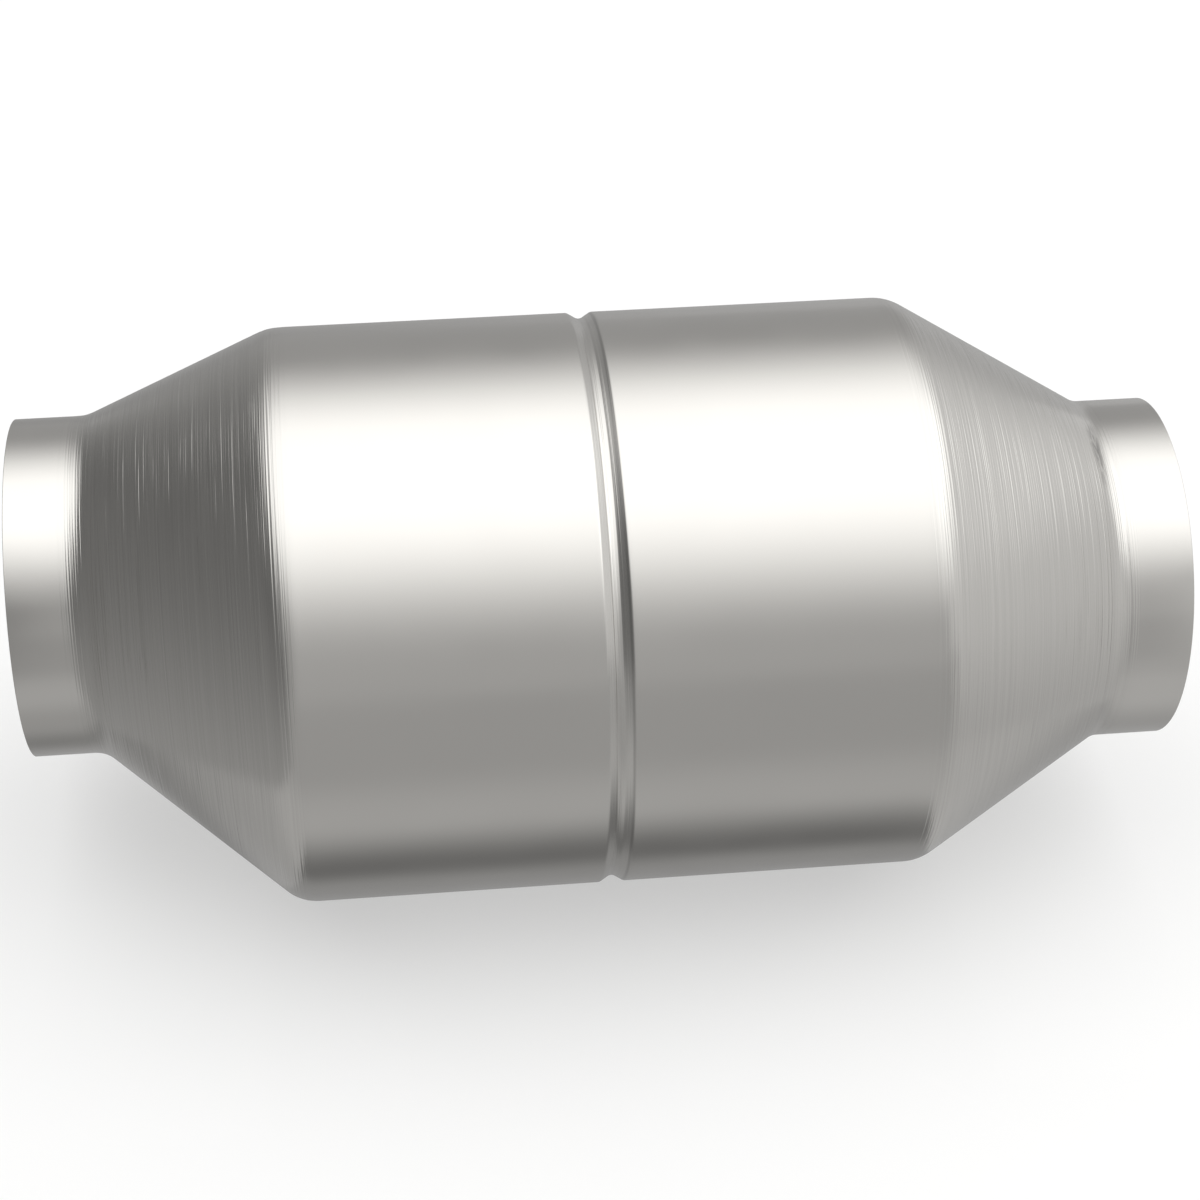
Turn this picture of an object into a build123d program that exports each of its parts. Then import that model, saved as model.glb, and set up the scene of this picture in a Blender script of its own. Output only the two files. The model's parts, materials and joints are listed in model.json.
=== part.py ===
from build123d import *
import os
from math import atan2, cos, radians, tan

# Catalytic converter, in millimetres: the gas runs along +X, from the offset neck to the straight one.
# The origin is the middle of the can, on its axis.

# Spun steel can
body_radius = 50.8
body_length = 109.3
shell_wall = 1.5
shoulder_radius = 8.0
neck_fillet = 5.5

# Exhaust pipe that slips into each neck
pipe_radius = 28.575
pipe_clearance = 0.3

# Inlet end, with its neck off the can's axis towards +Y
inlet_cone_length = 33.7
inlet_neck_length = 12.6
inlet_offset = 13.3

# Outlet end, on the can's axis
outlet_cone_length = 33.7
outlet_neck_length = 12.6

# Groove rolled round the middle of the can
groove_depth = 1.1
groove_flank_angle = 32.0
groove_lip_radius = 0.9
groove_floor_radius = 1.6
tightest_bend = 0.25

# Ceramic bricks
brick_gap = 7.0
brick_setback = 0.35
brick_skin = 1.0
cell_pitch = 7.8
cell_wall = 1.0
least_cell_share = 0.2

# Fibre mats wrapped round the bricks
mat_thickness = 2.8
mat_setback = 3.5
mat_joint_gap = 0.6
tongue_width = 14.0
tongue_length = 10.0

# Knitted wire rings at the edges of the mats
seal_width = 3.0

# Worked out from the sizes above
body_corner = body_length / 2
inner_radius = body_radius - shell_wall
neck_radius = pipe_radius + pipe_clearance + shell_wall
brick_radius = inner_radius - mat_thickness
brick_start = brick_gap / 2
brick_end = body_corner - brick_setback
seal_start = brick_start + mat_setback
seal_end = brick_end - mat_setback


def corner_shift(inset, cone_length):
    """How far a corner between can and cone moves inwards on a surface that lies inset under the outside."""
    cone_angle = atan2(body_radius - neck_radius, cone_length)
    return inset * tan(cone_angle / 2)


def groove_outline(inset):
    """The groove's three points and their radii, on a surface that lies inset under the outside."""
    flank = radians(groove_flank_angle)
    radius = body_radius - inset
    floor_radius = groove_floor_radius + inset
    depth = groove_depth + floor_radius * (1 / cos(flank) - 1)
    half_width = depth / tan(flank)
    lip_radius = max(groove_lip_radius - inset, tightest_bend)
    points = [(-half_width, radius), (0, radius - depth), (half_width, radius)]
    return points, [lip_radius, floor_radius, lip_radius]


def spun_form(inset):
    """Can, groove, outlet cone and outlet neck turned about the axis, inset under the outside."""
    radius = body_radius - inset
    neck = neck_radius - inset
    start = corner_shift(inset, inlet_cone_length) - body_corner
    corner = body_corner - corner_shift(inset, outlet_cone_length)
    mouth = body_corner + outlet_cone_length + outlet_neck_length
    groove_points, groove_radii = groove_outline(inset)
    cone_end = corner + outlet_cone_length
    points = [(start, radius), *groove_points, (corner, radius), (cone_end, neck), (mouth, neck)]
    radii = [*groove_radii, shoulder_radius - inset, neck_fillet + inset]
    outline = FilletPolyline(*points, radius=radii)
    closing = Polyline((mouth, neck), (mouth, 0), (start, 0), (start, radius))
    return revolve(make_face(outline + closing), Axis.X)


def inlet_form(inset):
    """Slanting inlet cone and its offset neck, inset under the outside."""
    start = corner_shift(inset, inlet_cone_length) - body_corner
    cone_end = start - inlet_cone_length
    mouth = -body_corner - inlet_cone_length - inlet_neck_length
    wide = Plane.YZ.offset(start) * Circle(body_radius - inset)
    narrow = Plane.YZ.offset(cone_end) * Pos(inlet_offset, 0) * Circle(neck_radius - inset)
    neck = extrude(narrow, cone_end - mouth, dir=(-1, 0, 0))
    return loft([wide, narrow], ruled=True) + neck


def can_form(inset):
    """The whole can as one solid, inset under the outside, with its inlet shoulder and neck rounded."""
    start = corner_shift(inset, inlet_cone_length) - body_corner
    can = spun_form(inset) + inlet_form(inset)
    can = fillet(edges_round_axis(can, start), shoulder_radius - inset)
    return fillet(edges_round_axis(can, start - inlet_cone_length), neck_fillet + inset)


def edges_round_axis(solid, place):
    """The edges that lie flat in the plane across the axis at this place."""
    near = 0.01
    return solid.edges().filter_by_position(Axis.X, place - near, place + near)


def shell():
    """Spun can of one wall, open at both necks."""
    return can_form(0) - can_form(shell_wall)


def brick():
    """Ceramic brick with straight square cells, from the middle gap towards +X."""
    core_radius = brick_radius - brick_skin
    cell = cell_pitch - cell_wall
    across = 2 * int(core_radius / cell_pitch + 0.5) + 1
    whole = [place * Rectangle(cell, cell) for place in GridLocations(cell_pitch, cell_pitch, across, across)]
    cut = [square & Circle(core_radius) for square in whole]
    kept = [piece for piece in cut if piece and piece.area > least_cell_share * cell * cell]
    section = Plane.YZ.offset(brick_start) * (Circle(brick_radius) - kept)
    return extrude(section, brick_end - brick_start, dir=(1, 0, 0))


def ring(start, end):
    """Ring that fills the space between brick and can from start to end."""
    section = Plane.YZ.offset(start) * (Circle(inner_radius) - Circle(brick_radius))
    return extrude(section, end - start, dir=(1, 0, 0))


def mat():
    """Mat wrapped once round the brick, with the tongue and groove where its ends meet underneath."""
    start = seal_start + seal_width
    end = seal_end - seal_width
    middle = (start + end) / 2
    tongue_start = middle - tongue_width / 2
    tongue_end = middle + tongue_width / 2
    route = Polyline(
        (start - mat_joint_gap, 0),
        (tongue_start, 0),
        (tongue_start, tongue_length),
        (tongue_end, tongue_length),
        (tongue_end, 0),
        (end + mat_joint_gap, 0),
    )
    joint = Plane.XY.offset(-body_radius) * trace(route, mat_joint_gap)
    return ring(start, end) - extrude(joint, body_radius, dir=(0, 0, 1))


def mirrored(solid):
    """The same piece on the inlet side of the middle."""
    return mirror(solid, about=Plane.YZ)


os.makedirs("parts", exist_ok=True)
inner_seal = ring(seal_start, seal_start + seal_width)
outer_seal = ring(seal_end - seal_width, seal_end)
nodes = {
    "shell": shell(),
    "inlet_brick": mirrored(brick()),
    "outlet_brick": brick(),
    "inlet_mat": mirrored(mat()),
    "outlet_mat": mat(),
    "inlet_front_seal": mirrored(outer_seal),
    "inlet_rear_seal": mirrored(inner_seal),
    "outlet_front_seal": inner_seal,
    "outlet_rear_seal": outer_seal,
}
for name, solid in nodes.items():
    export_step(solid, f"parts/{name}.step")
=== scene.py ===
"""Looks of a catalytic converter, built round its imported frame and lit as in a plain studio.

Sizes in the classes are in millimetres, in the frame's axes: the can lies along X, with its groove at X = 0.
"""

import json
import logging
import math
from collections.abc import Callable
from dataclasses import dataclass
from enum import Enum

import bpy
from bpy.types import Material, MeshPolygon, Node, NodeSocket, NodeTree, Object
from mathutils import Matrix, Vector


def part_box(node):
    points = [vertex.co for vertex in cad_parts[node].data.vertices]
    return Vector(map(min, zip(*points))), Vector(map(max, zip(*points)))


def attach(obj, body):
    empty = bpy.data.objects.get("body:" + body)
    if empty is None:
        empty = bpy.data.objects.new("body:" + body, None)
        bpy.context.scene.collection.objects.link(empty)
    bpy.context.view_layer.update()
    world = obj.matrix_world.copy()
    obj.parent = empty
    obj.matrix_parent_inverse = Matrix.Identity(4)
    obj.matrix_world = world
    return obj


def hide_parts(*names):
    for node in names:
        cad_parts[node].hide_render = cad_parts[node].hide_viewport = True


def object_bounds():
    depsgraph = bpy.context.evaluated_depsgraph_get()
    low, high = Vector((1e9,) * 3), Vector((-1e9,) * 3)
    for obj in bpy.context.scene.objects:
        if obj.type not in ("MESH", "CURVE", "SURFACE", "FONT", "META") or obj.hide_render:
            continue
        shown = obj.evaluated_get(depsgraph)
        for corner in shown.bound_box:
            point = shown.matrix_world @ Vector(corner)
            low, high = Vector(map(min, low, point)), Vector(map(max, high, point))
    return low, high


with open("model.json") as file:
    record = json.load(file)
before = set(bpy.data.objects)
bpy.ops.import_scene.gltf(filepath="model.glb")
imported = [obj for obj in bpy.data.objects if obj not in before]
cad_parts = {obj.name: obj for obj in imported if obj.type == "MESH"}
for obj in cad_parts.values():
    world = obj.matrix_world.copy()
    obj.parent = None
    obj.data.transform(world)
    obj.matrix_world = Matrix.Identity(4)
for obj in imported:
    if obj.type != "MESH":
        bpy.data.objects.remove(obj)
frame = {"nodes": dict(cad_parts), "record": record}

log = logging.getLogger("converter")
CAD_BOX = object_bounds()
BODY = "root"
MM_PER_METRE = 1000

# Turn that lays a primitive's own axis along X
ALONG_X = (0.0, math.pi / 2, 0.0)

# Setting of a Map Range node whose change starts and ends softly
SOFT = {"interpolation_type": "SMOOTHSTEP"}

# Sockets of the Mix node that carry colours
MIX_FIRST, MIX_SECOND, MIX_RESULT = 6, 7, 2


class Axis(Enum):
    """The frame's axes: X along the can towards its outlet, Y away from the camera, Z up."""

    X = "X"
    Y = "Y"
    Z = "Z"


class Slot(Enum):
    """Finishes that the record names for the pieces drawn here."""

    STEEL = "spun_steel"
    CERAMIC = "brick_ceramic"
    WIRE = "knitted_wire"


def mm(length: float) -> float:
    """Turns millimetres into Blender's metres."""
    return length / MM_PER_METRE


def in_mm(length: float) -> float:
    """Turns Blender's metres into millimetres."""
    return length * MM_PER_METRE


def linear(colour: str) -> tuple[float, float, float, float]:
    """Turns an sRGB hex colour into linear red, green, blue and alpha.

    Args:
        colour: Six hex digits after a hash.

    Returns:
        The four channels, each from 0 to 1.
    """
    shares = [int(colour[i:i + 2], 16) / 255 for i in (1, 3, 5)]
    red, green, blue = [s / 12.92 if s <= 0.04045 else ((s + 0.055) / 1.055) ** 2.4 for s in shares]
    return red, green, blue, 1.0


def add_node(tree: NodeTree, kind: str, inputs: dict[str | int, object] | None = None,
             **settings: object) -> Node:
    """Adds one node to a tree, with its settings and links.

    Args:
        tree: The material's or the world's node tree.
        kind: Blender's name for the node.
        inputs: For each input, by name or number, a plain value or the socket that feeds it.
        settings: The node's own properties.

    Returns:
        The new node.
    """
    node = tree.nodes.new(kind)
    for name, value in settings.items():
        setattr(node, name, value)
    for name, value in (inputs or {}).items():
        if isinstance(value, NodeSocket):
            tree.links.new(value, node.inputs[name])
        else:
            node.inputs[name].default_value = value
    return node


def stretch(value: NodeSocket, span: tuple[float, float],
            ends: tuple[float | NodeSocket, float | NodeSocket]) -> dict[str | int, object]:
    """Says what a Map Range node turns a value into.

    Args:
        value: What the result depends on.
        span: Where the change begins and ends.
        ends: The result before it and after it.

    Returns:
        The node's inputs by name.
    """
    return {"Value": value, "From Min": span[0], "From Max": span[1], "To Min": ends[0], "To Max": ends[1]}


def new_material(name: str) -> Material:
    """Makes an empty node material.

    Args:
        name: The material's name.

    Returns:
        The material, with no node in its tree.
    """
    material = bpy.data.materials.new(name)
    material.use_nodes = True
    material.node_tree.nodes.clear()
    return material


def finish_material(material: Material, inputs: dict[str | int, object]) -> Material:
    """Closes a material with its surface shader and output.

    Args:
        material: The material whose pattern nodes are in place.
        inputs: The surface shader's inputs.

    Returns:
        The same material.
    """
    surface = add_node(material.node_tree, "ShaderNodeBsdfPrincipled", inputs)
    add_node(material.node_tree, "ShaderNodeOutputMaterial", {"Surface": surface.outputs[0]})
    return material


@dataclass(frozen=True)
class Marks:
    """Marks that a tool leaves round the turned part, each on its own circle, fading in and out along it.

    A circle is marked where a first pattern rises through the span. The mark shows where a second pattern,
    which is coarser and changes along the circle, rises through shown.
    """

    spacing: float
    depth: float
    span: tuple[float, float]
    length: float
    shown: tuple[float, float]
    drift: float = 400.0
    coarser: float = 2.0

    def noise(self, tree: NodeTree, place: NodeSocket, along: float, spacing: float) -> NodeSocket:
        """Makes a pattern of circles.

        Args:
            tree: The material's tree.
            place: Object coordinates.
            along: How far the pattern holds along a circle.
            spacing: Distance from circle to circle.

        Returns:
            The pattern as a socket.
        """
        # The shift keeps one pattern from lying on the next.
        stretched = add_node(tree, "ShaderNodeMapping", {
            "Vector": place, "Scale": (1 / mm(spacing), 1 / mm(along), 1 / mm(along)),
            "Location": (along, spacing, self.depth),
        })
        return add_node(tree, "ShaderNodeTexNoise", {
            "Vector": stretched.outputs[0], "Scale": 1.0, "Detail": 1.0,
        }).outputs[0]

    def build(self, tree: NodeTree, place: NodeSocket, share: NodeSocket,
              under: NodeSocket | None = None) -> NodeSocket:
        """Lays these marks over the surface.

        Args:
            tree: The material's tree.
            place: Object coordinates.
            share: How strongly the marks show, from 0 to 1.
            under: The surface's direction with the marks beneath these, if there are any.

        Returns:
            The surface's direction with these marks.
        """
        pattern = self.noise(tree, place, self.drift, self.spacing)
        circles = add_node(tree, "ShaderNodeMapRange", stretch(pattern, self.span, (0.0, 1.0))).outputs[0]
        pattern = self.noise(tree, place, self.length, self.spacing * self.coarser)
        fading = add_node(tree, "ShaderNodeMapRange", stretch(
            pattern, self.shown, (0.0, 1.0)), **SOFT).outputs[0]
        shown = add_node(tree, "ShaderNodeMath", {0: fading, 1: share}, operation="MULTIPLY").outputs[0]
        height = add_node(tree, "ShaderNodeMath", {0: circles, 1: shown}, operation="MULTIPLY").outputs[0]
        inputs = {"Height": height, "Distance": mm(self.depth)}
        if under is not None:
            inputs["Normal"] = under
        return add_node(tree, "ShaderNodeBump", inputs).outputs[0]


@dataclass(frozen=True)
class DarkStreaks:
    """Dark streaks in the colour at one place, on the fillet between the outlet cone and its neck.

    The edge is a pair of shares of its reach along each axis, between which it fades out.
    """

    middle: tuple[float, float, float] = (87.2, -8.0, 29.9)
    reach: tuple[float, float, float] = (1.5, 11.5, 8.0)
    streak: tuple[float, float, float] = (0.4, 2.6, 2.6)
    strength: float = 0.62
    edge: tuple[float, float] = (0.05, 1.0)
    streak_span: tuple[float, float] = (0.35, 0.62)
    least_streak: float = 0.25

    def build(self, tree: NodeTree, place: NodeSocket) -> NodeSocket:
        """Says how dark the streaks make the surface.

        Args:
            tree: The material's tree.
            place: Object coordinates.

        Returns:
            The share of the dark colour as a socket.
        """
        off = add_node(tree, "ShaderNodeVectorMath", {0: place, 1: tuple(map(mm, self.middle))},
                       operation="SUBTRACT").outputs[0]
        shares = add_node(tree, "ShaderNodeVectorMath", {0: off, 1: tuple(map(mm, self.reach))},
                          operation="DIVIDE").outputs[0]
        distance = add_node(tree, "ShaderNodeVectorMath", {0: shares}, operation="LENGTH").outputs["Value"]
        stretched = add_node(tree, "ShaderNodeMapping", {
            "Vector": place, "Scale": tuple(1 / mm(length) for length in self.streak),
        }).outputs[0]
        streaks = add_node(tree, "ShaderNodeTexNoise", {
            "Vector": stretched, "Scale": 1.0, "Detail": 1.0,
        }).outputs[0]
        near = add_node(tree, "ShaderNodeMapRange", stretch(
            distance, self.edge, (self.strength, 0.0)), **SOFT).outputs[0]
        streaky = add_node(tree, "ShaderNodeMapRange", stretch(
            streaks, self.streak_span, (self.least_streak, 1.0)), **SOFT).outputs[0]
        return add_node(tree, "ShaderNodeMath", {0: near, 1: streaky}, operation="MULTIPLY").outputs[0]


@dataclass(frozen=True)
class SpunStainless:
    """Ferritic stainless tube, drawn smooth and bright, with the roller's fine rings where it was spun.

    The tube reflects softly and evenly. The rings catch the light as short bright and dark lines round the
    cones. A roller's feed is about 0.1 to 0.3 mm, and they are drawn at its coarse end, so that they show.
    Cones and groove say where along X the rollers worked the tube. The lip span says where a faint dark line
    of painted shade lies in the groove, beside its edge towards the outlet.
    """

    colour: str = "#C8C6C2"
    # Dark colour of the grain and the streaks, and of the painted shade line in the groove
    marks_and_shade: str = "#6A6966"
    roughness: float = 0.22
    rings: Marks = Marks(spacing=0.3, depth=0.055, span=(0.2, 0.8), length=26.0, shown=(0.0, 0.5))
    scores: Marks = Marks(spacing=0.26, depth=0.027, span=(0.5, 0.66), length=24.0, shown=(0.45, 0.62))
    grain_spacing: float = 0.24
    grain_span: tuple[float, float] = (0.35, 0.65)
    grain_share: float = 0.065
    patch: float = 14.0
    patch_span: tuple[float, float] = (0.35, 0.65)
    least_patch: float = 0.35
    cloud_span: tuple[float, float] = (0.3, 0.7)
    cloud_roughness: float = 0.02
    cones: tuple[float, float] = (52.4, 90.8)
    cone_fade: float = 1.7
    groove: float = 2.6
    lip_shade: tuple[float, float] = (1.7, 2.05)
    lip_shade_fade: float = 0.25
    lip_shade_share: float = 0.42
    dark_streaks: DarkStreaks = DarkStreaks()

    def band(self, tree: NodeTree, along: NodeSocket, edges: tuple[float, float], fade: float) -> NodeSocket:
        """Says where a band round the tube lies: 1 between its edges, and 0 outside them.

        Args:
            tree: The material's tree.
            along: Place along X.
            edges: Where the band begins and ends.
            fade: How far it fades on either side of each edge.

        Returns:
            The share as a socket.
        """
        begins, ends = ((mm(edge - fade), mm(edge + fade)) for edge in edges)
        rise = add_node(tree, "ShaderNodeMapRange", stretch(along, begins, (0.0, 1.0)), **SOFT).outputs[0]
        fall = add_node(tree, "ShaderNodeMapRange", stretch(along, ends, (1.0, 0.0)), **SOFT).outputs[0]
        return add_node(tree, "ShaderNodeMath", {0: rise, 1: fall}, operation="MULTIPLY").outputs[0]

    def worked(self, tree: NodeTree, along: NodeSocket) -> NodeSocket:
        """Says how far the rollers worked the tube: 0 on the can and necks, 1 from shoulder to neck.

        Args:
            tree: The material's tree.
            along: Place along X.

        Returns:
            The share as a socket.
        """
        off = add_node(tree, "ShaderNodeMath", {0: along}, operation="ABSOLUTE").outputs[0]
        cone = self.band(tree, off, self.cones, self.cone_fade)
        groove = add_node(tree, "ShaderNodeMapRange", stretch(
            off, (0.0, mm(self.groove)), (1.0, 0.0)), **SOFT).outputs[0]
        return add_node(tree, "ShaderNodeMath", {0: cone, 1: groove}, operation="MAXIMUM").outputs[0]

    def grain(self, tree: NodeTree, place: NodeSocket, worked: NodeSocket) -> NodeSocket:
        """Says how far each fine circle of the cones is darkened.

        Args:
            tree: The material's tree.
            place: Object coordinates.
            worked: How far the rollers worked the tube.

        Returns:
            The share of the dark colour as a socket.
        """
        circles = self.rings.noise(tree, place, self.rings.drift, self.grain_spacing)
        dark = add_node(tree, "ShaderNodeMapRange", stretch(
            circles, self.grain_span, (0.0, self.grain_share)), **SOFT).outputs[0]
        return add_node(tree, "ShaderNodeMath", {0: dark, 1: worked}, operation="MULTIPLY").outputs[0]

    def build(self) -> Material:
        """Makes the material.

        Returns:
            The material.
        """
        material = new_material("spun_stainless")
        tree = material.node_tree
        place = add_node(tree, "ShaderNodeTexCoord").outputs["Object"]
        along = add_node(tree, "ShaderNodeSeparateXYZ", {0: place}).outputs["X"]
        worked = self.worked(tree, along)
        patches = add_node(tree, "ShaderNodeTexNoise", {
            "Vector": place, "Scale": 1 / mm(self.patch), "Detail": 1.0,
        }).outputs[0]
        patchy = add_node(tree, "ShaderNodeMapRange", stretch(
            patches, self.patch_span, (self.least_patch, 1.0)), **SOFT).outputs[0]
        scoring = add_node(tree, "ShaderNodeMath", {0: worked, 1: patchy}, operation="MULTIPLY").outputs[0]
        ringed = self.rings.build(tree, place, worked)
        scored = self.scores.build(tree, place, scoring, ringed)
        # Painted shade: a faint dark line in the groove beside its edge towards the outlet, added to the dark
        # streaks
        lip_shade = self.band(tree, along, self.lip_shade, self.lip_shade_fade)
        shade_and_streaks = add_node(tree, "ShaderNodeMath", {
            0: lip_shade, 1: self.lip_shade_share, 2: self.dark_streaks.build(tree, place),
        }, operation="MULTIPLY_ADD").outputs[0]
        dark = add_node(tree, "ShaderNodeMath", {
            0: shade_and_streaks, 1: self.grain(tree, place, worked),
        }, operation="ADD").outputs[0]
        colour = add_node(tree, "ShaderNodeMix", {
            "Factor": dark, MIX_FIRST: linear(self.colour), MIX_SECOND: linear(self.marks_and_shade),
        }, data_type="RGBA")
        least, most = self.roughness - self.cloud_roughness, self.roughness + self.cloud_roughness
        cloudy = add_node(tree, "ShaderNodeMapRange", stretch(
            patches, self.cloud_span, (least, most)), **SOFT).outputs[0]
        return finish_material(material, {
            "Base Color": colour.outputs[MIX_RESULT], "Metallic": 1.0, "Roughness": cloudy, "Normal": scored,
        })


@dataclass(frozen=True)
class CoatedCordierite:
    """Extruded cordierite with a catalyst coat: a matt, chalky brown-grey that differs a little by cell.

    Its pores are a few hundredths of a millimetre wide, and are drawn coarser, so that they show.
    """

    colour: str = "#AC9F8C"
    dark: str = "#8C7F6E"
    roughness: float = 0.92
    cell_pitch: float = 1.27
    cloud: float = 14.0
    cloud_detail: float = 3.0
    pore: float = 0.12
    pore_detail: float = 2.0
    pore_depth: float = 0.03

    def build(self) -> Material:
        """Makes the material.

        Returns:
            The material.
        """
        material = new_material("coated_cordierite")
        tree = material.node_tree
        place = add_node(tree, "ShaderNodeTexCoord").outputs["Object"]
        cell = add_node(tree, "ShaderNodeVectorMath", {
            0: place, 1: (1.0, mm(self.cell_pitch), mm(self.cell_pitch)),
        }, operation="SNAP")
        chance = add_node(tree, "ShaderNodeTexWhiteNoise", {"Vector": cell.outputs[0]})
        cloud = add_node(tree, "ShaderNodeTexNoise", {
            "Vector": place, "Scale": 1 / mm(self.cloud), "Detail": self.cloud_detail,
        })
        share = add_node(tree, "ShaderNodeMath", {
            0: chance.outputs[0], 1: cloud.outputs[0],
        }, operation="MULTIPLY")
        colour = add_node(tree, "ShaderNodeMix", {
            "Factor": share.outputs[0], MIX_FIRST: linear(self.colour), MIX_SECOND: linear(self.dark),
        }, data_type="RGBA")
        pores = add_node(tree, "ShaderNodeTexNoise", {
            "Vector": place, "Scale": 1 / mm(self.pore), "Detail": self.pore_detail,
        })
        bump = add_node(tree, "ShaderNodeBump", {"Height": pores.outputs[0], "Distance": mm(self.pore_depth)})
        return finish_material(material, {
            "Base Color": colour.outputs[MIX_RESULT], "Roughness": self.roughness, "Normal": bump.outputs[0],
        })


@dataclass(frozen=True)
class FibreFelt:
    """Felted ceramic fibre with flakes of mica: cream, matt and finely matted, with small golden glints."""

    colour: str = "#D2C6A8"
    flake: str = "#8C7345"
    roughness: float = 0.95
    fibre: float = 0.8
    fibre_detail: float = 5.0
    fibre_twist: float = 1.5
    fibre_depth: float = 0.25
    flake_spacing: float = 1.1
    flake_edge: tuple[float, float] = (0.16, 0.3)

    def build(self) -> Material:
        """Makes the material.

        Returns:
            The material.
        """
        material = new_material("fibre_felt")
        tree = material.node_tree
        place = add_node(tree, "ShaderNodeTexCoord").outputs["Object"]
        fibres = add_node(tree, "ShaderNodeTexNoise", {
            "Vector": place, "Scale": 1 / mm(self.fibre), "Detail": self.fibre_detail,
            "Distortion": self.fibre_twist,
        })
        flakes = add_node(tree, "ShaderNodeTexVoronoi", {
            "Vector": place, "Scale": 1 / mm(self.flake_spacing),
        })
        flaked = add_node(tree, "ShaderNodeMapRange", stretch(
            flakes.outputs["Distance"], self.flake_edge, (1.0, 0.0)))
        colour = add_node(tree, "ShaderNodeMix", {
            "Factor": flaked.outputs[0], MIX_FIRST: linear(self.colour), MIX_SECOND: linear(self.flake),
        }, data_type="RGBA")
        bump = add_node(tree, "ShaderNodeBump", {
            "Height": fibres.outputs[0], "Distance": mm(self.fibre_depth),
        })
        return finish_material(material, {
            "Base Color": colour.outputs[MIX_RESULT], "Roughness": self.roughness, "Normal": bump.outputs[0],
        })


@dataclass(frozen=True)
class KnittedWire:
    """Knitted stainless wire pressed into a ring: dull steel, all small loops, with painted shade in the gaps
    between them.
    """

    colour: str = "#9C9A95"
    gap_shade: str = "#3A3835"
    roughness: float = 0.38
    loop: float = 0.9
    unevenness: float = 0.7
    wire_edge: tuple[float, float] = (0.05, 0.28)
    wire_depth: float = 0.2

    def build(self) -> Material:
        """Makes the material.

        Returns:
            The material.
        """
        material = new_material("knitted_wire")
        tree = material.node_tree
        place = add_node(tree, "ShaderNodeTexCoord").outputs["Object"]
        loops = add_node(tree, "ShaderNodeTexVoronoi", {
            "Vector": place, "Scale": 1 / mm(self.loop), "Randomness": self.unevenness,
        }, feature="DISTANCE_TO_EDGE")
        wire = add_node(tree, "ShaderNodeMapRange", stretch(
            loops.outputs["Distance"], self.wire_edge, (1.0, 0.0)), **SOFT)
        # Painted shade: away from the loops' edges the colour darkens into the gaps of the knit
        colour = add_node(tree, "ShaderNodeMix", {
            "Factor": wire.outputs[0], MIX_FIRST: linear(self.gap_shade), MIX_SECOND: linear(self.colour),
        }, data_type="RGBA")
        bump = add_node(tree, "ShaderNodeBump", {"Height": wire.outputs[0], "Distance": mm(self.wire_depth)})
        return finish_material(material, {
            "Base Color": colour.outputs[MIX_RESULT], "Metallic": 1.0, "Roughness": self.roughness,
            "Normal": bump.outputs[0],
        })


@dataclass(frozen=True)
class PalePaper:
    """Matt studio paper on a light table: an even white floor that keeps the part's soft, pale shadow.

    The table's share of white shows to the camera and in the metal, and lights nothing. The paper's tooth is
    drawn coarser than the real one, so that it shows.
    """

    colour: str = "#EDEDEC"
    table: str = "#FFFFFF"
    table_share: float = 0.45
    table_light: float = 1.0
    roughness: float = 0.9
    tooth: float = 0.6
    tooth_detail: float = 3.0
    tooth_depth: float = 0.01

    def build(self) -> Material:
        """Makes the material.

        Returns:
            The material.
        """
        material = new_material("pale_paper")
        tree = material.node_tree
        place = add_node(tree, "ShaderNodeTexCoord").outputs["Object"]
        tooth = add_node(tree, "ShaderNodeTexNoise", {
            "Vector": place, "Scale": 1 / mm(self.tooth), "Detail": self.tooth_detail,
        })
        bump = add_node(tree, "ShaderNodeBump", {
            "Height": tooth.outputs[0], "Distance": mm(self.tooth_depth),
        })
        paper = add_node(tree, "ShaderNodeBsdfPrincipled", {
            "Base Color": linear(self.colour), "Roughness": self.roughness, "Normal": bump.outputs[0],
        })
        table = add_node(tree, "ShaderNodeEmission", {
            "Color": linear(self.table), "Strength": self.table_light,
        })
        path = add_node(tree, "ShaderNodeLightPath").outputs
        seen = path["Is Camera Ray"]
        for ray in ("Is Glossy Ray", "Is Transmission Ray"):
            seen = add_node(tree, "ShaderNodeMath", {0: seen, 1: path[ray]}, operation="MAXIMUM").outputs[0]
        share = add_node(tree, "ShaderNodeMath", {0: seen, 1: self.table_share}, operation="MULTIPLY")
        floor = add_node(tree, "ShaderNodeMixShader", {
            0: share.outputs[0], 1: paper.outputs[0], 2: table.outputs[0],
        })
        add_node(tree, "ShaderNodeOutputMaterial", {"Surface": floor.outputs[0]})
        return material


def start_clean() -> None:
    """Deselects everything, so that the next operator acts on the new piece alone."""
    if bpy.context.object and bpy.context.object.mode != "OBJECT":
        bpy.ops.object.mode_set(mode="OBJECT")
    bpy.ops.object.select_all(action="DESELECT")


def select_points() -> None:
    """Enters edit mode and selects every point of the piece in hand."""
    bpy.ops.object.mode_set(mode="EDIT")
    bpy.ops.mesh.select_mode(type="VERT")
    bpy.ops.mesh.select_all(action="SELECT")


def select_faces(piece: Object, wanted: Callable[[MeshPolygon], bool]) -> None:
    """Selects a piece's faces by their place and enters edit mode.

    Args:
        piece: The mesh object in hand.
        wanted: Says for each face if it is selected.
    """
    bpy.ops.object.mode_set(mode="EDIT")
    bpy.ops.mesh.select_all(action="DESELECT")
    bpy.ops.mesh.select_mode(type="FACE")
    bpy.ops.object.mode_set(mode="OBJECT")
    for face in piece.data.polygons:
        face.select = wanted(face)
    bpy.ops.object.mode_set(mode="EDIT")


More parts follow.
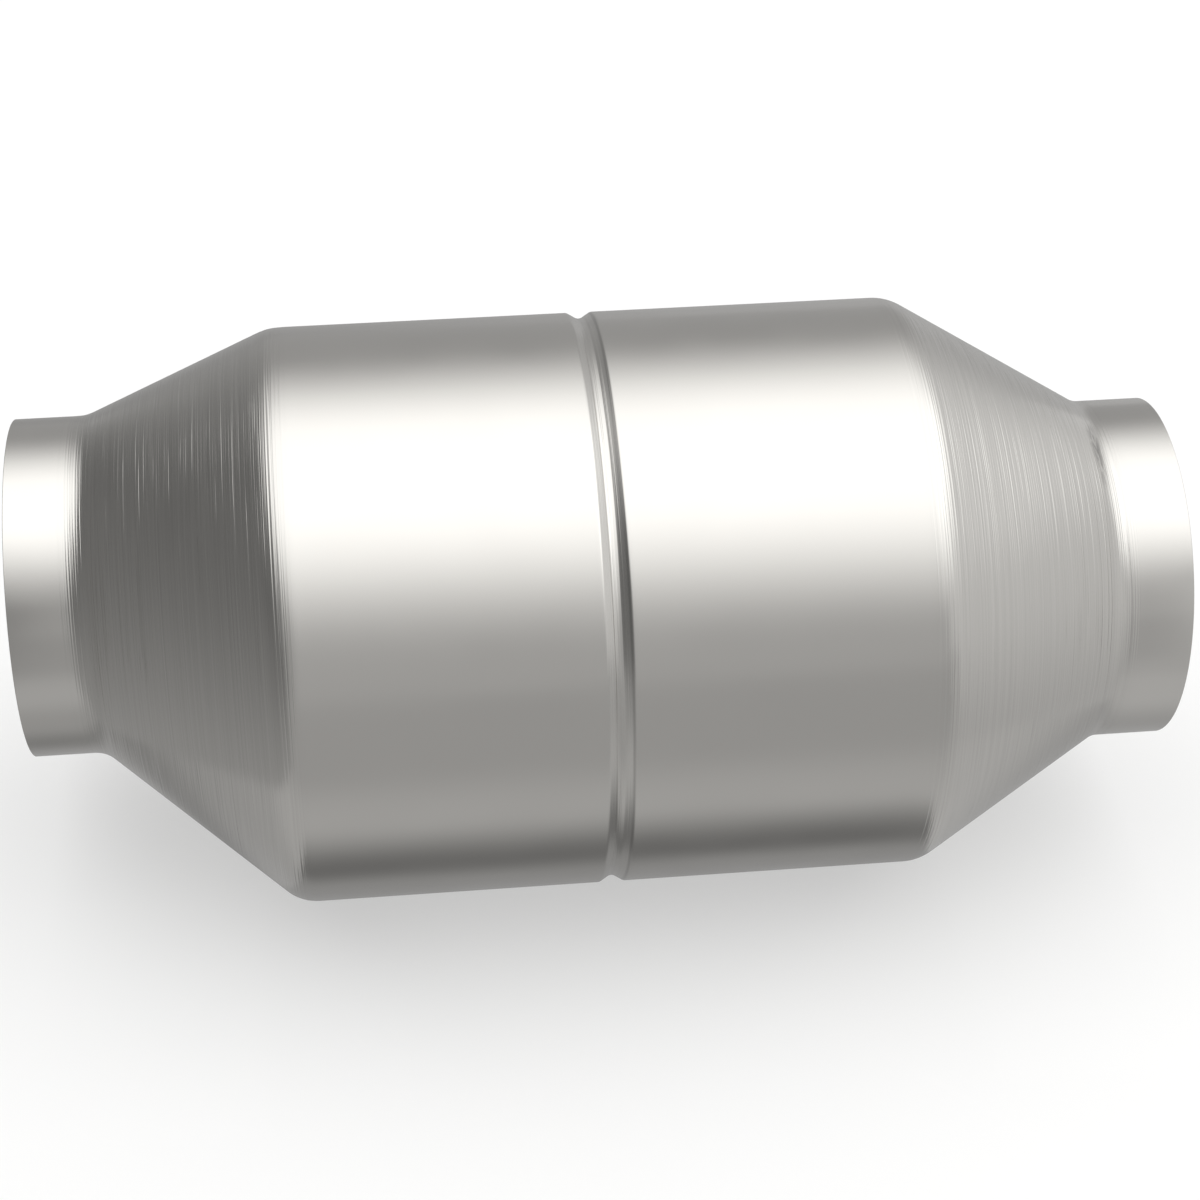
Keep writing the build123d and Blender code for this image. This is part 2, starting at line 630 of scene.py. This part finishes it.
def close_mesh(threshold: float) -> None:
    """Merges doubles, turns all faces outwards and leaves edit mode.

    Args:
        threshold: Points nearer than this are merged, in millimetres.
    """
    bpy.ops.mesh.select_all(action="SELECT")
    bpy.ops.mesh.remove_doubles(threshold=mm(threshold))
    bpy.ops.mesh.normals_make_consistent(inside=False)
    bpy.ops.object.mode_set(mode="OBJECT")


def dress(piece: Object, name: str, material: Material, slot: Slot, *nodes: str) -> Object:
    """Names a finished piece, gives it its material and joins it to the frame.

    Args:
        piece: The finished mesh object.
        name: The piece's name.
        material: Its finish.
        slot: The record's slot for that finish. Not used.
        nodes: The CAD nodes that the piece stands for.

    Returns:
        The same piece.
    """
    piece.name = name
    piece.data.name = name
    piece.data.materials.clear()
    piece.data.materials.append(material)
    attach(piece, BODY)
    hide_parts(*nodes)
    log.info("%s: %d faces, stands for %s", name, len(piece.data.polygons), ", ".join(nodes))
    return piece


@dataclass(frozen=True)
class Corner:
    """Corner of an outline: its place along X, its height over the axis and the radius that rounds it."""

    place: float
    height: float
    radius: float = 0.0


@dataclass(frozen=True)
class Arc:
    """Arc that rounds one corner, from one slope of the outline to the next."""

    centre: tuple[float, float]
    radius: float
    slopes: tuple[float, float]

    @property
    def bulge(self) -> int:
        """1 where the arc bulges away from the axis, -1 where it is hollow."""
        return 1 if self.slopes[1] < self.slopes[0] else -1

    def place(self, slope: float) -> float:
        """Place along X where the arc has this slope, in radians."""
        return self.centre[0] - self.bulge * self.radius * math.sin(slope)

    def height(self, place: float) -> float:
        """Height of the arc over the axis at this place."""
        reach = math.sqrt(max(self.radius ** 2 - (place - self.centre[0]) ** 2, 0.0))
        return self.centre[1] + self.bulge * reach


@dataclass(frozen=True)
class Outline:
    """One side of the can's outline: straight runs that tangent arcs join, with the rings that draw it."""

    corners: tuple[Corner, ...]
    turn_per_ring: float = 4.0
    least_step: float = 0.12
    support: float = 0.4

    def arcs(self) -> list[Arc]:
        """Rounds the outline's corners.

        Returns:
            The arcs, in order along X.
        """
        found = []
        for before, corner, after in zip(self.corners, self.corners[1:], self.corners[2:]):
            slope_in = math.atan2(corner.height - before.height, corner.place - before.place)
            slope_out = math.atan2(after.height - corner.height, after.place - corner.place)
            reach = corner.radius * math.tan(abs(slope_out - slope_in) / 2)
            side = 1 if slope_out < slope_in else -1
            centre = (
                corner.place - reach * math.cos(slope_in) + side * corner.radius * math.sin(slope_in),
                corner.height - reach * math.sin(slope_in) - side * corner.radius * math.cos(slope_in),
            )
            found.append(Arc(centre, corner.radius, (slope_in, slope_out)))
        return found

    def height(self, place: float) -> float:
        """Height of the outline over the axis.

        Args:
            place: Place along X.

        Returns:
            The height there, on an arc or on the straight run between two.
        """
        for arc in self.arcs():
            if arc.place(arc.slopes[0]) <= place <= arc.place(arc.slopes[1]):
                return arc.height(place)
        runs = list(zip(self.corners, self.corners[1:]))
        low, high = next((run for run in runs if place <= run[1].place), runs[-1])
        return low.height + (high.height - low.height) * (place - low.place) / (high.place - low.place)

    def places(self) -> list[float]:
        """Spaces the rings closely on each arc, with one on either side that keeps the next run straight.

        Returns:
            The rings' places along X, in no order.
        """
        found = [self.corners[0].place, self.corners[-1].place]
        for arc in self.arcs():
            turn = abs(arc.slopes[1] - arc.slopes[0])
            by_turn = math.ceil(math.degrees(turn) / self.turn_per_ring)
            by_length = math.ceil(turn * arc.radius / self.least_step)
            steps = max(2, min(by_turn, by_length))
            change = (arc.slopes[1] - arc.slopes[0]) / steps
            found += [arc.place(arc.slopes[0] + change * step) for step in range(steps + 1)]
            found += [arc.place(arc.slopes[0]) - self.support, arc.place(arc.slopes[1]) + self.support]
        return found


@dataclass(frozen=True)
class Ring:
    """Circle across the can: its place along X, its centre's Y and its radius."""

    place: float
    offset: float
    radius: float


@dataclass(frozen=True)
class Groove:
    """Groove rolled round the can's middle: depth, slope of its flanks, and radii of its lips and floor."""

    depth: float = 1.1
    flank: float = 32.0
    lip_radius: float = 0.9
    floor_radius: float = 1.6
    tightest_bend: float = 0.25

    def corners(self, can_radius: float, inset: float) -> tuple[Corner, Corner, Corner]:
        """The groove's three corners.

        Args:
            can_radius: Radius of the can's outside.
            inset: How far under the outside the drawn surface lies.

        Returns:
            Lip, floor and lip.
        """
        flank = math.radians(self.flank)
        floor_radius = self.floor_radius + inset
        depth = self.depth + floor_radius * (1 / math.cos(flank) - 1)
        half_width = depth / math.tan(flank)
        lip_radius = max(self.lip_radius - inset, self.tightest_bend)
        height = can_radius - inset
        return (Corner(-half_width, height, lip_radius), Corner(0.0, height - depth, floor_radius),
                Corner(half_width, height, lip_radius))


@dataclass(frozen=True)
class SpunCan:
    """The one-piece can: a round body with its groove, a slanting inlet cone and a straight outlet cone."""

    node: str = "shell"
    body_length: float = 109.3
    wall: float = 1.5
    shoulder_radius: float = 8.0
    neck_fillet: float = 5.5
    cone_length: float = 33.7
    mouth_chamfer: float = 0.08
    groove: Groove = Groove()
    steps_round: int = 256
    merge_distance: float = 0.004
    smooth_angle: float = 35.0
    finish: SpunStainless = SpunStainless()

    @property
    def radius(self) -> float:
        """Outer radius of the can, from the frame."""
        return in_mm(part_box(self.node)[1][2])

    @property
    def half_length(self) -> float:
        """Distance from the groove to either mouth, from the frame."""
        return in_mm(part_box(self.node)[1][0])

    @property
    def neck_radius(self) -> float:
        """Outer radius of both necks, from the record's bores."""
        return frame["record"]["mounts"][0]["dims"]["r_mm"] + self.wall

    @property
    def neck_offset(self) -> float:
        """How far the inlet neck lies off the can's axis towards +Y, from the record."""
        return in_mm(frame["record"]["mounts"][0]["pos_m"][1])

    def side(self, inset: float, towards: int) -> Outline:
        """One side of the outline.

        Args:
            inset: How far under the outside the drawn surface lies.
            towards: 1 for the side that the inlet neck is offset to, -1 for the other.

        Returns:
            The outline from the inlet's mouth to the outlet's.
        """
        cone_slope = math.atan2(self.radius - self.neck_radius, self.cone_length)
        corner = self.body_length / 2 - inset * math.tan(cone_slope / 2)
        cone_end = corner + self.cone_length
        neck = self.neck_radius - inset
        slanted = neck + towards * self.neck_offset
        shoulder = self.shoulder_radius - inset
        fillet = self.neck_fillet + inset
        return Outline((
            Corner(-self.half_length, slanted), Corner(-cone_end, slanted, fillet),
            Corner(-corner, self.radius - inset, shoulder), *self.groove.corners(self.radius, inset),
            Corner(corner, self.radius - inset, shoulder), Corner(cone_end, neck, fillet),
            Corner(self.half_length, neck),
        ))

    def rings(self, inset: float) -> list[Ring]:
        """The rings that draw one surface of the can, from the inlet's mouth to the outlet's.

        Args:
            inset: How far under the outside the surface lies.

        Returns:
            The rings, each touching the outline on both sides.
        """
        near, far = self.side(inset, -1), self.side(inset, 1)
        rings: list[Ring] = []
        for place in sorted(near.places() + far.places()):
            if rings and place - rings[-1].place < near.least_step / 2:
                continue
            low, high = near.height(place), far.height(place)
            rings.append(Ring(place, (high - low) / 2, (high + low) / 2))
        return rings

    def chamfered(self, rings: list[Ring], narrower: int) -> list[Ring]:
        """Breaks the sharp edge at both mouths.

        Args:
            rings: One surface's rings.
            narrower: 1 on the outside, where the mouth's ring shrinks, and -1 on the inside.

        Returns:
            The rings with a small chamfer at each end.
        """
        first, last = rings[0], rings[-1]
        change = narrower * self.mouth_chamfer
        return [
            Ring(first.place, first.offset, first.radius - change),
            Ring(first.place + self.mouth_chamfer, first.offset, first.radius),
            *rings[1:-1],
            Ring(last.place - self.mouth_chamfer, last.offset, last.radius),
            Ring(last.place, last.offset, last.radius - change),
        ]

    def build(self) -> Object:
        """Draws the tube ring by ring, out along its outside and back along its inside.

        Returns:
            The can.
        """
        outside = self.chamfered(self.rings(0.0), 1)
        inside = self.chamfered(self.rings(self.wall), -1)
        route = [*outside, *reversed(inside), outside[0]]
        start_clean()
        bpy.ops.mesh.primitive_circle_add(
            vertices=self.steps_round, radius=mm(route[0].radius), rotation=ALONG_X,
            location=(mm(route[0].place), mm(route[0].offset), 0.0))
        can = bpy.context.object
        bpy.ops.object.transform_apply()
        select_points()
        for before, ring in zip(route, route[1:]):
            step = (mm(ring.place - before.place), mm(ring.offset - before.offset), 0.0)
            bpy.ops.mesh.extrude_region_move(TRANSFORM_OT_translate={"value": step})
            size = ring.radius / before.radius
            centre = (mm(ring.place), mm(ring.offset), 0.0)
            bpy.ops.transform.resize(value=(1.0, size, size), center_override=centre)
        close_mesh(self.merge_distance)
        bpy.ops.object.shade_smooth_by_angle(angle=math.radians(self.smooth_angle))
        return dress(can, "spun_can", self.finish.build(), Slot.STEEL, self.node)


@dataclass(frozen=True)
class HoneycombBrick:
    """Round ceramic brick with some four thousand square cells from end to end, and a solid skin."""

    node: str
    material: Material
    cell_pitch: float = 1.27
    cell_wall: float = 0.24
    cell_sides: int = 4
    skin: float = 0.5
    steps_round: int = 192
    merge_distance: float = 0.002
    smooth_angle: float = 30.0

    def build(self) -> Object:
        """Lays out the cells on one end, opens them and draws them through to the other end.

        Returns:
            The brick.
        """
        low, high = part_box(self.node)
        radius = in_mm(high[2])
        core = radius - self.skin
        across = 2 * int(core / self.cell_pitch) + 1
        start_clean()
        bpy.ops.mesh.primitive_grid_add(
            x_subdivisions=across, y_subdivisions=across, size=mm(across * self.cell_pitch),
            rotation=ALONG_X, location=(low[0], 0.0, 0.0))
        brick = bpy.context.object
        bpy.ops.object.transform_apply()
        points = brick.data.vertices
        select_faces(brick, lambda face: any(
            math.hypot(points[i].co.y, points[i].co.z) > mm(core) for i in face.vertices))
        bpy.ops.mesh.delete(type="FACE")
        bpy.ops.mesh.primitive_circle_add(
            vertices=self.steps_round, radius=mm(radius), rotation=ALONG_X, location=(low[0], 0.0, 0.0))
        bpy.ops.mesh.select_mode(type="EDGE")
        bpy.ops.mesh.select_non_manifold(
            extend=False, use_multi_face=False, use_non_contiguous=False, use_verts=False)
        bpy.ops.mesh.fill(use_beauty=True)
        select_faces(brick, lambda face: len(face.vertices) == self.cell_sides)
        bpy.ops.mesh.inset(thickness=mm(self.cell_wall / 2), use_individual=True)
        bpy.ops.mesh.delete(type="FACE")
        bpy.ops.mesh.select_all(action="SELECT")
        bpy.ops.mesh.extrude_region_move(TRANSFORM_OT_translate={"value": (high[0] - low[0], 0.0, 0.0)})
        close_mesh(self.merge_distance)
        bpy.ops.object.shade_smooth_by_angle(angle=math.radians(self.smooth_angle))
        return dress(brick, f"honeycomb_{self.node}", self.material, Slot.CERAMIC, self.node)


@dataclass(frozen=True)
class WireSeal:
    """Ring of knitted wire, pressed round-edged into the space between brick and can."""

    node: str
    brick: str
    material: Material
    steps_round: int = 360
    steps_section: int = 20
    lump: float = 0.12
    lump_spacing: float = 1.0
    merge_distance: float = 0.002

    def build(self) -> Object:
        """Rolls a ring, presses it to its width and leaves its surface lumpy.

        Returns:
            The ring.
        """
        low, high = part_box(self.node)
        outer, inner = high[2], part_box(self.brick)[1][2]
        half_height, half_width = (outer - inner) / 2, (high[0] - low[0]) / 2
        middle = ((low[0] + high[0]) / 2, 0.0, 0.0)
        start_clean()
        bpy.ops.mesh.primitive_torus_add(
            major_segments=self.steps_round, minor_segments=self.steps_section, rotation=ALONG_X,
            major_radius=(outer + inner) / 2, minor_radius=half_height, location=middle)
        ring = bpy.context.object
        bpy.ops.object.transform_apply()
        select_points()
        bpy.ops.transform.resize(value=(half_width / half_height, 1.0, 1.0), center_override=middle)
        close_mesh(self.merge_distance)
        lumps = bpy.data.textures.new(f"{self.node}_lumps", "CLOUDS")
        lumps.noise_scale = mm(self.lump_spacing)
        press = ring.modifiers.new("lumps", "DISPLACE")
        press.texture = lumps
        press.texture_coords = "LOCAL"
        press.mid_level = 1.0
        press.strength = mm(self.lump)
        bpy.ops.object.modifier_apply(modifier=press.name)
        bpy.ops.object.shade_smooth()
        return dress(ring, f"wire_{self.node}", self.material, Slot.WIRE, self.node)


@dataclass(frozen=True)
class FibreMat:
    """Mat wrapped round a brick. Its CAD solid has the right shape and keeps it."""

    node: str
    material: Material

    def build(self) -> Object:
        """Gives the mat its felt.

        Returns:
            The mat.
        """
        mat = frame["nodes"][self.node]
        mat.data.materials.clear()
        mat.data.materials.append(self.material)
        log.info("%s: carried over with %s", self.node, self.material.name)
        return mat


@dataclass(frozen=True)
class Fade:
    """Change of a card's light along one axis, over a span and between two strengths."""

    axis: Axis
    span: tuple[float, float]
    ends: tuple[float, float]


@dataclass(frozen=True)
class Card:
    """Grey card round the part, as a photographer puts beside metal. It shows in the metal alone.

    It stands across X where it takes up no length along X, and otherwise lies flat. Across, deep and high are
    its spans along X, Y and Z, the last over the floor. Its light is the product of its fades.
    """

    name: str
    across: tuple[float, float]
    deep: tuple[float, float]
    high: tuple[float, float]
    fades: tuple[Fade, ...]

    @property
    def stands(self) -> bool:
        """Tells if the card stands on edge."""
        return self.across[0] == self.across[1]

    def build(self, floor_height: float) -> Object:
        """Puts the card in its place.

        Args:
            floor_height: The floor's place along Z, in millimetres.

        Returns:
            The card.
        """
        start_clean()
        bpy.ops.mesh.primitive_plane_add(size=1.0, rotation=ALONG_X if self.stands else (0.0, 0.0, 0.0))
        card = bpy.context.object
        length = self.high if self.stands else self.across
        card.scale = (mm(length[1] - length[0]), mm(self.deep[1] - self.deep[0]), 1.0)
        middle = (sum(self.across) / 2, sum(self.deep) / 2, sum(self.high) / 2 + floor_height)
        card.location = tuple(map(mm, middle))
        bpy.ops.object.transform_apply()
        card.name = self.name
        material = new_material(self.name)
        tree = material.node_tree
        place = add_node(tree, "ShaderNodeTexCoord").outputs["Object"]
        along = add_node(tree, "ShaderNodeSeparateXYZ", {0: place}).outputs
        light = 1.0
        for fade in self.fades:
            start = floor_height if fade.axis is Axis.Z else 0.0
            span = (mm(fade.span[0] + start), mm(fade.span[1] + start))
            step = add_node(tree, "ShaderNodeMapRange", stretch(
                along[fade.axis.value], span, fade.ends), **SOFT).outputs[0]
            light = add_node(tree, "ShaderNodeMath", {0: light, 1: step}, operation="MULTIPLY").outputs[0]
        glow = add_node(tree, "ShaderNodeEmission", {"Strength": light})
        add_node(tree, "ShaderNodeOutputMaterial", {"Surface": glow.outputs[0]})
        card.data.materials.append(material)
        card.visible_camera = card.visible_diffuse = card.visible_transmission = card.visible_shadow = False
        log.info("%s: shows in the metal alone", self.name)
        return card


@dataclass(frozen=True)
class Studio:
    """Pale floor, pale walls that are darker on the inlet's side, and one long soft light overhead.

    Each edge is a pair of values, between which the light fades. The overhead light's front and back edges
    are angles in degrees, from the front horizon at 0 over the zenith at 90 to the back at 180, and the front
    edge lies lower towards the outlet. Its side edges are the direction's part along X over its height. The
    walls' edges are the direction's parts along X and Z.
    """

    light_colour: str = "#FFFFFF"
    wall_light: float = 0.5
    wall_lean: float = 0.06
    inlet_light: float = 0.2
    inlet_edge: tuple[float, float] = (-0.8, -0.15)
    outlet_light: float = 0.49
    outlet_edge: tuple[float, float] = (0.3, 0.9)
    outlet_rise: tuple[float, float] = (-0.3, 0.4)
    overhead_light: float = 1.4
    front_edge: tuple[float, float] = (16.0, 75.0)
    front_lean: float = 0.26
    back_edge: tuple[float, float] = (103.0, 155.0)
    inlet_side_edge: tuple[float, float] = (-1.4, -0.5)
    outlet_side_edge: tuple[float, float] = (0.8, 1.7)
    least_rise: float = 0.05
    floor_size: float = 12000.0
    paper: PalePaper = PalePaper()
    cards: tuple[Card, ...] = (
        Card("inlet_card", (-118.0, -118.0), (-150.0, 110.0), (0.0, 110.8),
             (Fade(Axis.Z, (0.0, 110.8), (0.39, 0.19)), Fade(Axis.Y, (20.0, 110.0), (1.0, 1.9)))),
        Card("outlet_card", (125.0, 125.0), (-110.0, 60.0), (0.0, 95.8),
             (Fade(Axis.Z, (0.0, 95.8), (0.57, 0.81)),)),
        # The foot cards and the front card grow darker near the can: painted shade of the can on the floor,
        # as the metal sees it
        Card("inlet_foot_card", (-118.0, -62.0), (-76.0, 60.0), (1.0, 1.0),
             (Fade(Axis.Y, (-60.0, -32.0), (0.58, 0.46)), Fade(Axis.Y, (-26.0, -9.0), (1.0, 0.65)),
              Fade(Axis.Y, (-9.0, 8.0), (1.0, 1.4)))),
        Card("outlet_foot_card", (62.0, 125.0), (-76.0, 60.0), (1.0, 1.0),
             (Fade(Axis.Y, (-46.0, -16.0), (0.62, 0.44)),)),
        Card("front_card", (-6000.0, 6000.0), (-6000.0, -12.0), (0.5, 0.5),
             (Fade(Axis.Y, (-76.0, -48.0), (1.0, 0.36)), Fade(Axis.Y, (-47.0, -37.0), (1.0, 1.75)),
              Fade(Axis.Y, (-140.0, -80.0), (0.48, 0.58)))),
        Card("back_card", (-6000.0, 6000.0), (60.0, 6000.0), (0.5, 0.5),
             (Fade(Axis.X, (-400.0, 600.0), (0.35, 0.6)), Fade(Axis.Y, (60.0, 200.0), (2.0, 1.0)))),
    )

    def build(self) -> None:
        """Lays the floor under the can, stands the cards on it and lights the room."""
        start_clean()
        height = CAD_BOX[0][2]
        bpy.ops.mesh.primitive_plane_add(size=mm(self.floor_size), location=(0.0, 0.0, height))
        floor = bpy.context.object
        bpy.ops.object.transform_apply()
        floor.name = "floor"
        floor.data.materials.append(self.paper.build())
        log.info("floor: at the can's underside")
        for card in self.cards:
            card.build(in_mm(height))
        self.light()

    def light(self) -> None:
        """Makes the room's light depend on the direction it comes from."""
        world = bpy.data.worlds.new("studio")
        bpy.context.scene.world = world
        world.use_nodes = True
        tree = world.node_tree
        tree.nodes.clear()
        direction = add_node(tree, "ShaderNodeTexCoord").outputs["Generated"]
        part = add_node(tree, "ShaderNodeSeparateXYZ", {0: direction}).outputs
        walls = self.walls(tree, part["X"], part["Y"], part["Z"])
        overhead = self.overhead(tree, part["X"], part["Y"], part["Z"])
        strength = add_node(tree, "ShaderNodeMath", {0: walls, 1: overhead}, operation="ADD")
        room = add_node(tree, "ShaderNodeBackground", {
            "Color": linear(self.light_colour), "Strength": strength.outputs[0],
        })
        add_node(tree, "ShaderNodeOutputWorld", {"Surface": room.outputs[0]})

    def walls(self, tree: NodeTree, x: NodeSocket, y: NodeSocket, z: NodeSocket) -> NodeSocket:
        """Light of the walls: darkest towards the inlet, brightest high up towards the outlet.

        Args:
            tree: The world's tree.
            x: The direction's part along X.
            y: Its part along Y.
            z: Its part along Z.

        Returns:
            The light as a socket.
        """
        middle = add_node(tree, "ShaderNodeMath", {0: y, 1: -self.wall_lean, 2: self.wall_light},
                          operation="MULTIPLY_ADD")
        inlet = add_node(tree, "ShaderNodeMapRange", stretch(
            x, self.inlet_edge, (self.inlet_light, middle.outputs[0])))
        outlet = add_node(tree, "ShaderNodeMapRange", stretch(
            x, self.outlet_edge, (0.0, self.outlet_light)), **SOFT)
        rise = add_node(tree, "ShaderNodeMapRange", stretch(z, self.outlet_rise, (0.0, 1.0)), **SOFT)
        return add_node(tree, "ShaderNodeMath", {
            0: outlet.outputs[0], 1: rise.outputs[0], 2: inlet.outputs[0],
        }, operation="MULTIPLY_ADD").outputs[0]

    def overhead(self, tree: NodeTree, x: NodeSocket, y: NodeSocket, z: NodeSocket) -> NodeSocket:
        """Light of the long overhead box, which fades at all its edges.

        Args:
            tree: The world's tree.
            x: The direction's part along X.
            y: Its part along Y.
            z: Its part along Z.

        Returns:
            The light as a socket.
        """
        forward = add_node(tree, "ShaderNodeMath", {0: y, 1: -1.0}, operation="MULTIPLY").outputs[0]
        angle = add_node(tree, "ShaderNodeMath", {0: z, 1: forward}, operation="ARCTAN2").outputs[0]
        leaning = add_node(tree, "ShaderNodeMath", {
            0: x, 1: self.front_lean, 2: angle,
        }, operation="MULTIPLY_ADD").outputs[0]
        height = add_node(tree, "ShaderNodeMath", {0: z, 1: self.least_rise}, operation="MAXIMUM").outputs[0]
        sideways = add_node(tree, "ShaderNodeMath", {0: x, 1: height}, operation="DIVIDE").outputs[0]
        light = self.overhead_light
        for value, edge, ends in (
            (leaning, tuple(map(math.radians, self.front_edge)), (0.0, 1.0)),
            (angle, tuple(map(math.radians, self.back_edge)), (1.0, 0.0)),
            (sideways, self.inlet_side_edge, (0.0, 1.0)),
            (sideways, self.outlet_side_edge, (1.0, 0.0)),
        ):
            step = add_node(tree, "ShaderNodeMapRange", stretch(value, edge, ends), **SOFT).outputs[0]
            light = add_node(tree, "ShaderNodeMath", {0: light, 1: step}, operation="MULTIPLY").outputs[0]
        return light


@dataclass(frozen=True)
class Viewpoint:
    """The photograph's camera: in front, a little to the inlet's side, looking down on the can."""

    aim: tuple[float, float, float] = (1.36, -0.46, -0.46)
    distance: float = 480.0
    azimuth: float = -5.92
    elevation: float = 34.62
    lens: float = 80.33
    sensor: float = 36.0
    nearest: float = 50.0
    farthest: float = 20000.0

    def build(self) -> Object:
        """Makes the camera and sets it as the scene's.

        Returns:
            The camera.
        """
        azimuth, elevation = math.radians(self.azimuth), math.radians(self.elevation)
        back = Vector((
            math.sin(azimuth) * math.cos(elevation),
            -math.cos(azimuth) * math.cos(elevation),
            math.sin(elevation),
        ))
        data = bpy.data.cameras.new("camera")
        data.lens = self.lens
        data.sensor_width = self.sensor
        data.clip_start = mm(self.nearest)
        data.clip_end = mm(self.farthest)
        camera = bpy.data.objects.new("camera", data)
        bpy.context.collection.objects.link(camera)
        camera.location = (Vector(self.aim) + back * self.distance) / MM_PER_METRE
        camera.rotation_euler = (-back).to_track_quat("-Z", "Y").to_euler()
        bpy.context.scene.camera = camera
        return camera


@dataclass(frozen=True)
class Converter:
    """The whole part: can, bricks, mats and wire rings."""

    can: SpunCan = SpunCan()
    sides: tuple[str, str] = ("inlet", "outlet")

    def build(self) -> None:
        """Builds every piece in the order in which the real one is filled."""
        ceramic = CoatedCordierite().build()
        felt = FibreFelt().build()
        wire = KnittedWire().build()
        for side in self.sides:
            brick = f"{side}_brick"
            HoneycombBrick(brick, ceramic).build()
            FibreMat(f"{side}_mat", felt).build()
            for end in ("front", "rear"):
                WireSeal(f"{side}_{end}_seal", brick, wire).build()
        self.can.build()


def main() -> None:
    """Builds the part, the studio and the camera in order."""
    logging.basicConfig(level=logging.INFO, format="%(name)s %(message)s")
    bpy.context.scene.view_settings.view_transform = "Standard"
    Viewpoint().build()
    Studio().build()
    Converter().build()


if __name__ == "__main__":
    main()
